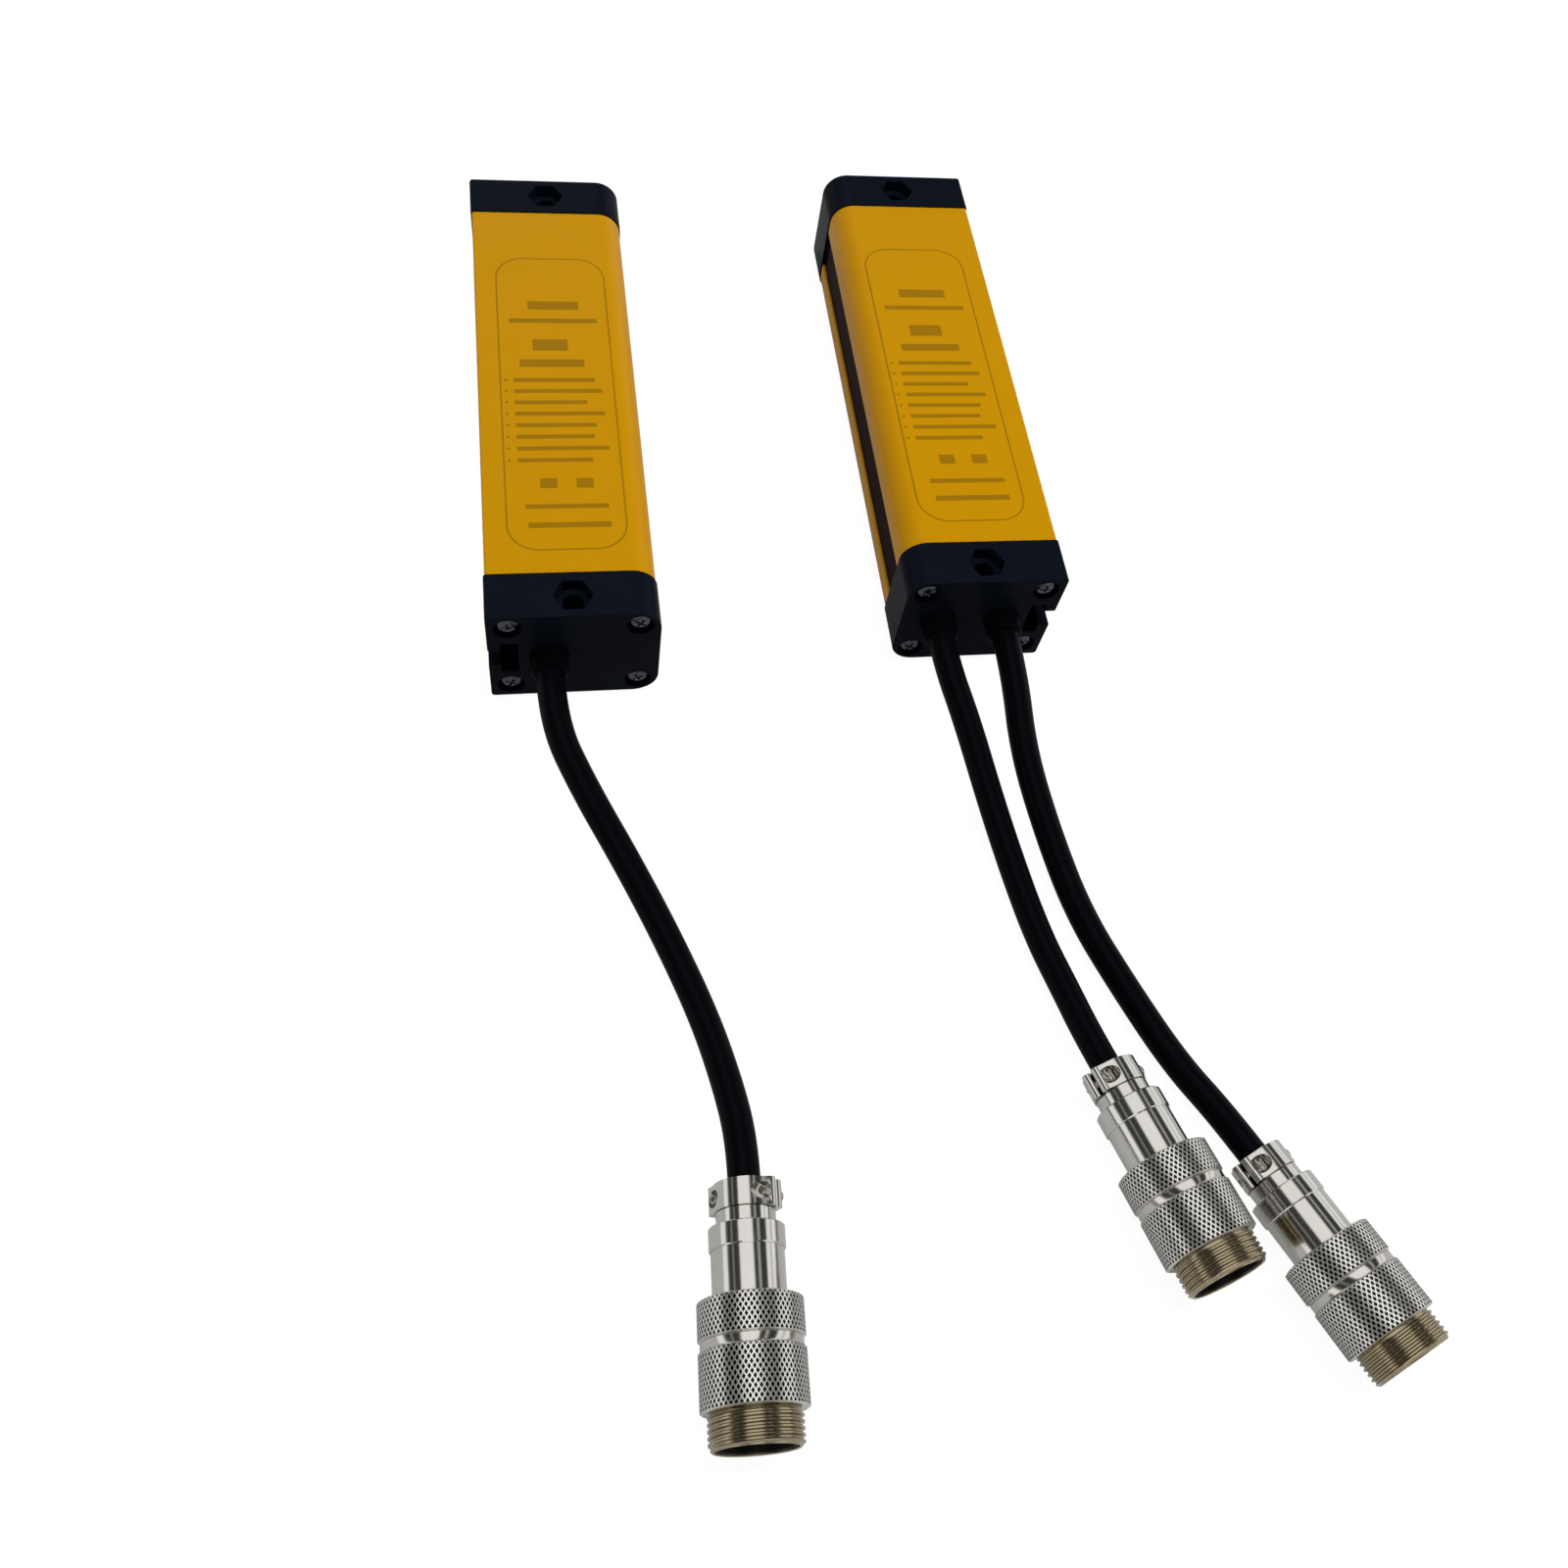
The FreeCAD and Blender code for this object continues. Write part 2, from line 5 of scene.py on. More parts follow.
import bmesh
import bpy
from mathutils import Matrix, Vector

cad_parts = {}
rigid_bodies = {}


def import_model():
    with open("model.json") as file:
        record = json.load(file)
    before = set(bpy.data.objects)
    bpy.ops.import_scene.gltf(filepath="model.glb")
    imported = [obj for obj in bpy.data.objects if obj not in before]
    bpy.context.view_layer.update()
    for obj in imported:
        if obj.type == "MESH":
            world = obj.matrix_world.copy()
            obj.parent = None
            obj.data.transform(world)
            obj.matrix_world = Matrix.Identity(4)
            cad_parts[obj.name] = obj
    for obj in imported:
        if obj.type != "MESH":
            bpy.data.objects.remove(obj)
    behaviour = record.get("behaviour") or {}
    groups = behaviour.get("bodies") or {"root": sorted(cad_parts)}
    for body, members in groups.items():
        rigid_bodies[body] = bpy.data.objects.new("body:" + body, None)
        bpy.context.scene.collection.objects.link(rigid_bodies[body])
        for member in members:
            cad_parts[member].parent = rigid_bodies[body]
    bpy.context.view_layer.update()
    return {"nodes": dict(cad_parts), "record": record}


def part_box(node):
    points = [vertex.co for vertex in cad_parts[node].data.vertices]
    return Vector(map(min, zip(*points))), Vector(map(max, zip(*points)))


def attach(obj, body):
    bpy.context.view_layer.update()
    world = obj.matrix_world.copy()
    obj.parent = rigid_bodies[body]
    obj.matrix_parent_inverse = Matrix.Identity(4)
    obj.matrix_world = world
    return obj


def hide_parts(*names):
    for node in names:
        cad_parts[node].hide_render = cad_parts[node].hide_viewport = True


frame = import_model()


# Camera
# A normal lens close above the near ends. It looks down past the connectors to the far caps, so
# the bars narrow away from it.
MM = 0.001
camera = bpy.data.objects.new("camera", bpy.data.cameras.new("camera"))
bpy.context.scene.collection.objects.link(camera)
bpy.context.scene.camera = camera
right = Vector((0.97865, -0.14368, 0.14697)).normalized()
forward = Vector((0.19870, 0.47865, -0.85523)).normalized()
right = (right - forward * right.dot(forward)).normalized()
turn = Matrix((right, right.cross(forward), -forward)).transposed()
camera.matrix_world = Matrix.Translation(Vector((-51.680, -234.693, 264.597)) * MM) @ turn.to_4x4()
camera.data.sensor_width = 36.0
camera.data.lens = 32.98
camera.data.shift_x = -0.03125
camera.data.shift_y = -0.015625
camera.data.clip_start = 0.01


# Floor, room and lamps
# A white paper sweep in a room with pale walls and a dark ceiling. Long narrow softboxes hang over
# the pair and stay out of reflections: polished metal mirrors the room's bright and dark bands,
# which run along the bars, and black plastic stays black.
def linear(colour):
    """Linear RGBA from an sRGB hex colour."""
    channels = [int(colour[i:i + 2], 16) / 255 for i in (1, 3, 5)]
    return [c / 12.92 if c <= 0.04045 else ((c + 0.055) / 1.055) ** 2.4 for c in channels] + [1.0]


def add(tree, kind, inputs=None, **settings):
    """Adds a node with its settings by name, and with inputs that are each a link or a value."""
    node = tree.nodes.new(kind)
    for name, value in settings.items():
        socket = node.inputs.get(name.replace("_", " "))
        if socket is None:
            setattr(node, name, value)
        else:
            socket.default_value = value
    for name, value in (inputs or {}).items():
        if isinstance(value, bpy.types.NodeSocket):
            tree.links.new(value, node.inputs[name])
        else:
            node.inputs[name].default_value = value
    return node


scene = bpy.context.scene
scene.view_settings.view_transform = "Standard"
world = bpy.data.worlds.new("white room")
scene.world = world
world.use_nodes = True
room = world.node_tree
room.nodes.clear()

# The walls fade into the ceiling, by the height of the direction that is looked in
wall_top, ceiling_edge, wall_light, ceiling_light = 0.12, 0.40, 0.8, 0.05
direction = add(room, "ShaderNodeTexCoord").outputs["Generated"]
sides = add(room, "ShaderNodeSeparateXYZ", {0: direction})
walls = add(room, "ShaderNodeMapRange", {"Value": sides.outputs["Z"]}, From_Min=wall_top,
            From_Max=ceiling_edge, To_Min=wall_light, To_Max=ceiling_light)

# The bands are a broad wave and a fine one, each with its waves per radian and its shift
broad_wave, fine_wave, fine_share = (4.0, 1.92), (13.0, 0.6), 0.7
dark_end, bright_end, dark_band, bright_band = -0.5, 0.3, 0.03, 1.2
bearing = add(room, "ShaderNodeMath", {0: sides.outputs["X"], 1: sides.outputs["Z"]}, operation="ARCTAN2")
waves = []
for rate, shift in (broad_wave, fine_wave):
    turns = add(room, "ShaderNodeMath", {0: bearing.outputs[0], 1: rate, 2: shift},
                operation="MULTIPLY_ADD")
    waves.append(add(room, "ShaderNodeMath", {0: turns.outputs[0]}, operation="SINE"))
mix = add(room, "ShaderNodeMath", {0: waves[1].outputs[0], 1: fine_share, 2: waves[0].outputs[0]},
          operation="MULTIPLY_ADD")
bands = add(room, "ShaderNodeMapRange", {"Value": mix.outputs[0]}, From_Min=dark_end,
            From_Max=bright_end, To_Min=dark_band, To_Max=bright_band)

# Reflections see the bands, and the camera sees plain white
rays = add(room, "ShaderNodeLightPath")
mirrored = add(room, "ShaderNodeMath", {0: bands.outputs[0], 1: rays.outputs["Is Glossy Ray"]},
               operation="MULTIPLY")
lit = add(room, "ShaderNodeMath", {0: mirrored.outputs[0], 1: walls.outputs[0]}, operation="MAXIMUM")
seen = add(room, "ShaderNodeMath", {0: rays.outputs["Is Camera Ray"],
                                    1: rays.outputs["Is Transmission Ray"]}, operation="MAXIMUM")
strength = add(room, "ShaderNodeMath", {0: seen.outputs[0], 1: lit.outputs[0]}, operation="MAXIMUM")
backdrop = add(room, "ShaderNodeBackground", {"Strength": strength.outputs[0]}, Color=linear("#ffffff"))
add(room, "ShaderNodeOutputWorld", {"Surface": backdrop.outputs[0]})


def new_material(name):
    """Node material with an empty tree."""
    material = bpy.data.materials.new(name)
    material.use_nodes = True
    material.node_tree.nodes.clear()
    return material


# Matt paper, lit from behind as well, so that it runs into the white of the room
white_sweep = new_material("white paper sweep")
glow_seen, glow_mirrored, glow_strength = 0.75, 0.15, 1.25
tree = white_sweep.node_tree
rays = add(tree, "ShaderNodeLightPath")
seen = add(tree, "ShaderNodeMath", {0: rays.outputs["Is Camera Ray"],
                                    1: rays.outputs["Is Transmission Ray"]}, operation="MAXIMUM")
full = add(tree, "ShaderNodeMath", {0: seen.outputs[0], 1: glow_seen}, operation="MULTIPLY")
share = add(tree, "ShaderNodeMath", {0: rays.outputs["Is Glossy Ray"], 1: glow_mirrored,
                                     2: full.outputs[0]}, operation="MULTIPLY_ADD")
paper = add(tree, "ShaderNodeBsdfDiffuse", Color=linear("#cfcfcf"))
glow = add(tree, "ShaderNodeEmission", Color=linear("#ffffff"), Strength=glow_strength)
mixed = add(tree, "ShaderNodeMixShader", {0: share.outputs[0], 1: paper.outputs[0], 2: glow.outputs[0]})
add(tree, "ShaderNodeOutputMaterial", {"Surface": mixed.outputs[0]})

floor_reach, floor_drop = 3, 0.0003
floor_mesh = bpy.data.meshes.new("floor")
corners = [(x * floor_reach, y * floor_reach, 0) for x, y in ((-1, -1), (1, -1), (1, 1), (-1, 1))]
floor_mesh.from_pydata(corners, [], [(0, 1, 2, 3)])
floor_mesh.materials.append(white_sweep)
floor = bpy.data.objects.new("floor", floor_mesh)
floor.location.z = -floor_drop
scene.collection.objects.link(floor)

# Softboxes run along the bars and aim at the pair's middle. Each has its X, height and width in
# metres and its power in watts
lamp_y, lamp_length = -0.05, 0.9
softboxes = {
    "top_left_softbox": (-0.31, 0.90, 0.035, 1.2),
    "top_softbox": (-0.10, 0.95, 0.025, 0.9),
    "top_middle_softbox": (0.03, 0.95, 0.035, 0.9),
    "top_right_softbox": (0.22, 0.93, 0.05, 1.2),
    "right_softbox": (0.42, 0.80, 0.05, 2.1),
    "low_right_softbox": (0.66, 0.48, 0.09, 2.0),
    "left_softbox": (-0.68, 0.50, 0.015, 0.6),
}
for name, (x, height, width, power) in softboxes.items():
    light = bpy.data.lights.new(name, "AREA")
    light.shape = "RECTANGLE"
    light.size = width
    light.size_y = lamp_length
    light.energy = power
    holder = bpy.data.objects.new(name, light)
    aim = Vector((-x, 0.0, -height)).to_track_quat("-Z", "Y").to_matrix().to_4x4()
    holder.matrix_world = Matrix.Translation((x, lamp_y, height)) @ aim
    holder.visible_glossy = False
    scene.collection.objects.link(holder)


# Cables
# Round flexible cables with an extruded black PVC jacket. Each leaves its gland, sags onto the
# floor and rises into the back of its connector.
drift_mm, relief_mm, rough_swing = 9, 0.1, 0.2


def finish(name, colour, roughness, metallic=0.0, gloss=0.5, grain_mm=0.3, bump=0.05, mottle=0.06):
    """Finish with a fine surface grain and a slight drift of shade over a few millimetres.

    Real moulded and drawn grain is finer: it is drawn at 0.2 mm or more, to show.
    """
    material = new_material(name)
    tree = material.node_tree
    place = add(tree, "ShaderNodeTexCoord").outputs["Object"]
    grain = add(tree, "ShaderNodeTexNoise", {"Vector": place}, Scale=1 / (grain_mm * MM), Detail=3.0)
    drift = add(tree, "ShaderNodeTexNoise", {"Vector": place}, Scale=1 / (drift_mm * MM), Detail=2.0)
    shade = add(tree, "ShaderNodeMapRange", {"Value": drift.outputs["Fac"]},
                To_Min=1 - mottle, To_Max=1 + mottle)
    tint = add(tree, "ShaderNodeVectorMath", {0: linear(colour)[:3], 1: shade.outputs[0]},
               operation="MULTIPLY")
    rough = add(tree, "ShaderNodeMapRange", {"Value": grain.outputs["Fac"]},
                To_Min=roughness * (1 - rough_swing), To_Max=roughness * (1 + rough_swing))
    relief = add(tree, "ShaderNodeBump", {"Height": grain.outputs["Fac"]},
                 Strength=bump, Distance=relief_mm * MM)
    shader = add(tree, "ShaderNodeBsdfPrincipled",
                 {"Base Color": tint.outputs[0], "Roughness": rough.outputs[0],
                  "Normal": relief.outputs[0]}, Metallic=metallic, Specular_IOR_Level=gloss)
    add(tree, "ShaderNodeOutputMaterial", {"Surface": shader.outputs[0]})
    return material


# PVC straight from the die: deep black with a soft sheen along the top of each cable
cable_jacket = finish("extruded black PVC", "#050609", 0.34, gloss=0.03, grain_mm=0.5, bump=0.06)
cable_radius = 2.95
# The straight runs out of each gland and into each clamp, in millimetres
first_runs = {"emitter_cable": 11.5, "receiver_link_cable": 7.2, "receiver_output_cable": 10.0}
last_runs = {"emitter_cable": 7.8, "receiver_link_cable": 8.0, "receiver_output_cable": 10.0}
cable_routes = {
    "emitter_cable": [
        (-43.7, -96.6, 11.9), (-36.0, -111.0, 5.9), (-29.5, -126.0, 2.95), (-24.0, -142.5, 2.95),
        (-21.4, -156.7, 6.4)],
    "receiver_link_cable": [
        (36.8, -86.5, 13.2), (40.6, -103.0, 6.3), (43.6, -119.5, 2.95), (45.6, -133.0, 2.95),
        (48.0, -144.0, 4.0)],
    "receiver_output_cable": [
        (48.4, -93.5, 11.0), (51.7, -110.5, 5.5), (55.2, -128.0, 2.95), (61.0, -144.8, 2.95),
        (67.4, -160.9, 2.95)],
}
mounts = {mount["name"]: mount for mount in frame["record"]["mounts"]}
connector_length = 42.7
clamp_rolls = {"emitter": -150, "receiver": -30}


def connector_place(name):
    """Frame of a connector: X along it from the clamp's rear, Z towards the clamp's screw heads."""
    mouth = Vector(mounts[name + "_thread"]["pos_m"]) / MM
    heading = Vector(mounts[name + "_thread"]["axis"]).normalized()
    across = Vector((0, 0, 1)).cross(heading).normalized()
    basis = Matrix((heading, across, heading.cross(across))).transposed().to_4x4()
    roll = Matrix.Rotation(math.radians(clamp_rolls[name.split("_")[0]]), 4, "X")
    return Matrix.Translation(mouth - heading * connector_length) @ basis @ roll


def whole_route(name):
    """Points from the gland's face to the connector's clamp, in millimetres."""
    low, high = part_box(name.replace("_cable", "_gland"))
    start = Vector(((low.x + high.x) / 2, low.y, (low.z + high.z) / 2)) / MM
    place = connector_place(name.replace("_cable", "_connector"))
    end = place.translation
    along = place.col[0].to_3d()
    chosen = [Vector(point) for point in cable_routes[name]]
    return [start, start - Vector((0, first_runs[name], 0)), *chosen, end - along * last_runs[name], end]


cables = {}
for name in cable_routes:
    route = whole_route(name)
    curve = bpy.data.curves.new(name + "_jacket", "CURVE")
    curve.dimensions = "3D"
    spline = curve.splines.new("NURBS")
    spline.points.add(len(route) - 1)
    for point, place in zip(spline.points, route):
        point.co = (*(place * MM), 1.0)
    spline.order_u = 3
    spline.use_endpoint_u = True
    spline.resolution_u = 16
    curve.bevel_depth = cable_radius * MM
    curve.bevel_resolution = 8
    curve.use_fill_caps = True
    curve.materials.append(cable_jacket)
    cables[name] = bpy.data.objects.new(name + "_jacket", curve)
    scene.collection.objects.link(cables[name])
    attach(cables[name], "root")
    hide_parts(name)


# Extrusions
# Drawn aluminium profiles with a golden-yellow coat: a T-slot down the back, a slot for the
# window down the front and rounded front corners, sawn square at both ends.
def piece(name, mesh, material, slot, *replaced):
    """New piece on the part's one body, standing for its nodes."""
    made = bpy.data.objects.new(name, mesh)
    scene.collection.objects.link(made)
    if not mesh.materials:
        mesh.materials.append(material)
    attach(made, "root")
    if replaced:
        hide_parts(*replaced)
    return made


def arc(centre, radius, start, end, steps):
    """Points of an arc, with its angles in degrees."""
    angles = [math.radians(start + (end - start) * i / steps) for i in range(steps + 1)]
    return [(centre[0] + radius * math.cos(a), centre[1] + radius * math.sin(a)) for a in angles]


def prism(outline, low, high):
    """Closed prism on an outline of (x, z) points, from low to high along Y, in millimetres."""
    form = bmesh.new()
    near = [form.verts.new((x, low, z)) for x, z in outline]
    far = [form.verts.new((x, high, z)) for x, z in outline]
    form.faces.new(near)
    form.faces.new(far[::-1])
    for i in range(len(outline)):
        form.faces.new((near[i - 1], near[i], far[i], far[i - 1]))
    bmesh.ops.recalc_face_normals(form, faces=form.faces)
    return form


def flatten_large_faces(mesh, angle):
    """Corner normals averaged by area, so that flat faces look flat beside rounded edges."""
    limit = math.cos(math.radians(angle))
    around = [[] for _ in mesh.vertices]
    for face in mesh.polygons:
        for vertex in face.vertices:
            around[vertex].append(face)
    normals = []
    for face in mesh.polygons:
        for vertex in face.vertices:
            near = [f.normal * f.area for f in around[vertex] if f.normal.dot(face.normal) > limit]
            normals.append(sum(near, Vector()).normalized())
    mesh.normals_split_custom_set(normals)


# Angles in degrees, then a length in millimetres
smooth_limit, edge_limit, weld_distance = 35, 40, 0.0005


def mesh_from(form, name, place=Matrix.Identity(4), smooth=smooth_limit):
    """Mesh in metres from a form in millimetres, set at its place."""
    mesh = bpy.data.meshes.new(name)
    form.transform(Matrix.Scale(MM, 4) @ place)
    if place.determinant() < 0:
        bmesh.ops.reverse_faces(form, faces=form.faces)
    form.to_mesh(mesh)
    form.free()
    mesh.shade_smooth()
    mesh.set_sharp_from_angle(angle=math.radians(smooth))
    return mesh


def softened(form, name, edge, cutters=(), place=Matrix.Identity(4), segments=2):
    """Form with the cutters taken out and its sharp edges rounded, as a finished mesh."""
    work = bpy.data.meshes.new(name + "_work")
    form.to_mesh(work)
    form.free()
    blank = bpy.data.objects.new(name + "_work", work)
    scene.collection.objects.link(blank)
    tools = []
    for number, cutter in enumerate(cutters):
        tool_mesh = bpy.data.meshes.new(name + "_tool")
        cutter.to_mesh(tool_mesh)
        cutter.free()
        tool = bpy.data.objects.new("%s_tool_%d" % (name, number), tool_mesh)
        scene.collection.objects.link(tool)
        cut = blank.modifiers.new("cut", "BOOLEAN")
        cut.operation = "DIFFERENCE"
        cut.solver = "EXACT"
        cut.object = tool
        tools.append(tool)
    rounding = blank.modifiers.new("edges", "BEVEL")
    rounding.width = edge
    rounding.segments = segments
    rounding.limit_method = "ANGLE"
    rounding.angle_limit = math.radians(edge_limit)
    rounding.miter_outer = "MITER_ARC"
    ready = bpy.data.meshes.new_from_object(blank.evaluated_get(bpy.context.evaluated_depsgraph_get()))
    for spare in [blank, *tools]:
        bpy.data.objects.remove(spare)
    finished = bmesh.new()
    finished.from_mesh(ready)
    bmesh.ops.remove_doubles(finished, verts=finished.verts, dist=weld_distance)
    mesh = mesh_from(finished, name, place)
    flatten_large_faces(mesh, edge_limit)
    return mesh


# Each bar has its own frame: X towards its window, Y away from its cables, from the near cap's face
bars = {}
for bar, facing in (("emitter", 1), ("receiver", -1)):
    near_low, near_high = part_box(bar + "_near_cap")
    low, high = near_low / MM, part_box(bar + "_far_cap")[1] / MM
    corner = Matrix.Translation(((low.x + high.x) / 2, low.y, 0))
    bars[bar] = {"place": corner @ Matrix.Diagonal((facing, 1, 1, 1)), "facing": facing,
                 "width": high.x - low.x, "length": high.y - low.y, "height": high.z - low.z,
                 "cap": (near_high.y - near_low.y) / MM}

# A coloured coat over fine draw lines: an even, warm, half-matt yellow
golden_coat = finish("golden coat on drawn aluminium", "#ca9000", 0.4,
                     gloss=0.12, grain_mm=0.25, bump=0.04, mottle=0.03)
skin_step, front_radius, back_radius = 0.3, 5.6, 0.8
slot_mouth, slot_lip, slot_chamber, slot_depth = 5.0, 2.6, 10.0, 6.1
window_opening, window_lip = 10.0, 1.8
seat_half, seat_depth, rib_half, rib_depth = 6.1, 2.1, 5.6, 1.2
chamber_back, chamber_front, chamber_wall = -9.8, 10.6, 2.5


def bar_outline(sizes, inset, front):
    """Outline of a bar, mirrored at mid height: T-slot, back corner, front corner, then its front."""
    level = sizes["height"] / 2
    back, half = -sizes["width"] / 2, sizes["width"] / 2 - inset
    behind, before = back_radius - inset, front_radius - inset
    lower = [(back + slot_depth, level), (back + slot_depth, level - slot_chamber / 2),
             (back + slot_lip, level - slot_chamber / 2), (back + slot_lip, level - slot_mouth / 2),
             (-half, level - slot_mouth / 2)]
    lower += arc((behind - half, inset + behind), behind, 180, 270, 4)
    lower += arc((half - before, inset + before), before, 270, 360, 14)
    lower += front
    upper = [(x, sizes["height"] - z) for x, z in reversed(lower) if z < level - 0.001]
    return lower + upper


for bar, sizes in bars.items():
    level = sizes["height"] / 2
    face = sizes["width"] / 2 - skin_step
    lip = face - window_lip
    seat = lip - seat_depth
    rib = seat - rib_depth
    front = [(face, level - window_opening / 2), (lip, level - window_opening / 2),
             (lip, level - seat_half), (seat, level - seat_half), (seat, level - rib_half),
             (rib, level - rib_half), (rib, level - seat_half), (chamber_front, level - seat_half),
             (chamber_front, chamber_wall), (chamber_back, chamber_wall)]
    form = prism(bar_outline(sizes, skin_step, front), sizes["cap"], sizes["length"] - sizes["cap"])
    mesh = softened(form, bar + "_extrusion", edge=0.22, place=sizes["place"])
    piece(bar + "_extrusion", mesh, golden_coat, "housing", bar + "_housing")


# Printing on the top faces
# A thin film of ink, screen-printed on the coat in a darker yellow: a rounded border round rows of
# plain bars, where a real one has its rating table.

# Screen ink: the coat's yellow, darker and a little more matt
ink = finish("screen-printed ink", "#9d7206", 0.45, gloss=0.12, grain_mm=0.4, bump=0.02)
border_width, ink_height = 0.35, 0.02


def rounded_rectangle(left, right, low, high, radius):
    """Points of a rectangle with round corners."""
    points = []
    for cx, cy, start in ((right - radius, low + radius, 270), (right - radius, high - radius, 0),
                          (left + radius, high - radius, 90), (left + radius, low + radius, 180)):
        points += arc((cx, cy), radius, start, start + 90, 8)
    return points


def flat_band(form, outer, inner, floor):
    """Thin band between two like outlines, lying on a face."""
    rows = []
    for height in (floor - ink_height, floor + ink_height):
        rows.append([form.verts.new((x, y, height)) for x, y in outer])
        rows.append([form.verts.new((x, y, height)) for x, y in inner])
    low_outer, low_inner, top_outer, top_inner = rows
    for i in range(len(outer)):
        form.faces.new((top_outer[i - 1], top_outer[i], top_inner[i], top_inner[i - 1]))
        form.faces.new((low_outer[i - 1], low_inner[i - 1], low_inner[i], low_outer[i]))
        form.faces.new((low_outer[i - 1], low_outer[i], top_outer[i], top_outer[i - 1]))
        form.faces.new((low_inner[i - 1], top_inner[i - 1], top_inner[i], low_inner[i]))


def flat_bar(form, left, right, middle, tall, floor):
    """Thin printed bar lying on a face."""
    made = bmesh.ops.create_cube(form, size=1.0)["verts"]
    size = Matrix.Diagonal((right - left, tall, 2 * ink_height, 1))
    centre = Matrix.Translation(((left + right) / 2, middle, floor))
    bmesh.ops.transform(form, verts=made, matrix=centre @ size)


border = (-12.5, 12.2, 16.7, 101.6, 6.5)
border_inside = [size + change * border_width for size, change in zip(border, (1, -1, 1, -1, -1))]
# Middle, left end, right end and height of each bar that stands alone
single_bars = [(86.3, -5.6, 5.7, 2.6), (81.5, -9.9, 9.6, 1.3), (74.0, -5.0, 2.7, 3.4),
               (68.5, -8.0, 6.0, 2.2), (34.3, -5.1, -1.6, 2.6), (34.3, 2.4, 5.9, 2.6),
               (28.1, -8.4, 8.7, 1.2), (23.2, -8.0, 8.9, 1.4)]
table_first, table_pitch, table_rows = 63.5, 3.27, 8
table_left, table_right, table_tall, ragged_reach, ragged_turn = -9.5, 8.0, 1.1, 2.0, 2.4
bullet_left, bullet_right, bullet_tall = -11.5, -10.9, 0.6
for bar, sizes in bars.items():
    top = sizes["height"] - skin_step
    print_form = bmesh.new()
    flat_band(print_form, rounded_rectangle(*border), rounded_rectangle(*border_inside), top)
    for middle, left, right_end, tall in single_bars:
        flat_bar(print_form, left, right_end, middle, tall, top)
    for row in range(table_rows):
        middle = table_first - row * table_pitch
        ragged = table_right + ragged_reach * math.sin(ragged_turn * row)
        flat_bar(print_form, bullet_left, bullet_right, middle, bullet_tall, top)
        flat_bar(print_form, table_left, ragged, middle, table_tall, top)
    bmesh.ops.recalc_face_normals(print_form, faces=print_form.faces)
    # Mirrored back, so that both labels read the same way
    lay = sizes["place"] @ Matrix.Diagonal((sizes["facing"], 1, 1, 1))
    mesh = mesh_from(print_form, bar + "_label", lay)
    piece(bar + "_label", mesh, ink, "housing")


# Windows
# Strips of dark red acrylic that pass infrared, slid in behind the lips of the extrusion. A
# raised land fills the opening between the lips and ends just below their faces.

# Dyed acrylic: smooth and nearly black, with a faint red cast
filter_acrylic = finish("dark red infrared filter acrylic", "#1c0602", 0.2,
                        gloss=0.002, grain_mm=2.0, bump=0.01)
window_depth, window_overlap, land_drop = 2.0, 1.0, 0.5
side_play, lip_play, end_play = 0.03, 0.02, 0.01
for bar, sizes in bars.items():
    level = sizes["height"] / 2
    behind = sizes["width"] / 2 - skin_step - window_lip
    front = sizes["width"] / 2 - skin_step - land_drop
    half_back, half_land = window_opening / 2 + window_overlap, window_opening / 2 - side_play
    outline = [(behind - window_depth, level - half_back), (behind - lip_play, level - half_back),
               (behind - lip_play, level - half_land), (front, level - half_land)]
    outline += [(x, sizes["height"] - z) for x, z in reversed(outline)]
    form = prism(outline, sizes["cap"] + end_play, sizes["length"] - sizes["cap"] - end_play)
    mesh = softened(form, bar + "_filter", edge=0.15, place=sizes["place"])
    piece(bar + "_filter", mesh, filter_acrylic, "window", bar + "_window")


# End caps
# Black glass-filled nylon mouldings that close the extrusion: a nut pocket and a bolt hole on
# top, four screw recesses in the end face and a round seat for each cable's gland.

# Nylon with glass in it: blue-black, with a fine even grain
cap_nylon = finish("moulded black glass-filled nylon", "#0f141d", 0.3, gloss=0.012, grain_mm=0.2, bump=0.05)
recess_radius, recess_depth, shank_radius = 2.8, 2.0, 1.55
screw_inset_x, screw_inset_z = 4.3, 4.0
bolt_inset, bolt_radius, nut_across_flats, nut_depth = 5.3, 2.25, 7.0, 3.2
gland_seat_radius, gland_seat_depth = 3.95, 2.0
nodes = frame["nodes"]


def rod(radius, start, along, length, sides=48):
    """Closed round or regular rod in millimetres."""
    form = bmesh.new()
    bmesh.ops.create_cone(form, cap_ends=True, segments=sides, radius1=radius, radius2=radius, depth=length)
    direction = Vector(along).normalized()
    tilt = direction.to_track_quat("Z", "X").to_matrix().to_4x4()
    form.transform(Matrix.Translation(Vector(start) + direction * length / 2) @ tilt)
    return form


def gland_places(bar):
    """Each gland of a bar and its X in the bar's own frame."""
    found = {}
    for name in nodes:
        if name.startswith(bar) and name.endswith("gland"):
            low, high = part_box(name)
            centre = Vector(((low.x + high.x) / 2, 0, 0)) / MM
            found[name] = (bars[bar]["place"].inverted() @ centre).x
    return found


def screw_places(sizes):
    """X and Z of the four screws in an end face."""
    return [(x, z) for x in (screw_inset_x - sizes["width"] / 2, sizes["width"] / 2 - screw_inset_x)
            for z in (screw_inset_z, sizes["height"] - screw_inset_z)]


def far_place(sizes):
    """Turns what is made for the near end to the far end."""
    return sizes["place"] @ Matrix.Translation((0, sizes["length"], 0)) @ Matrix.Diagonal((1, -1, 1, 1))


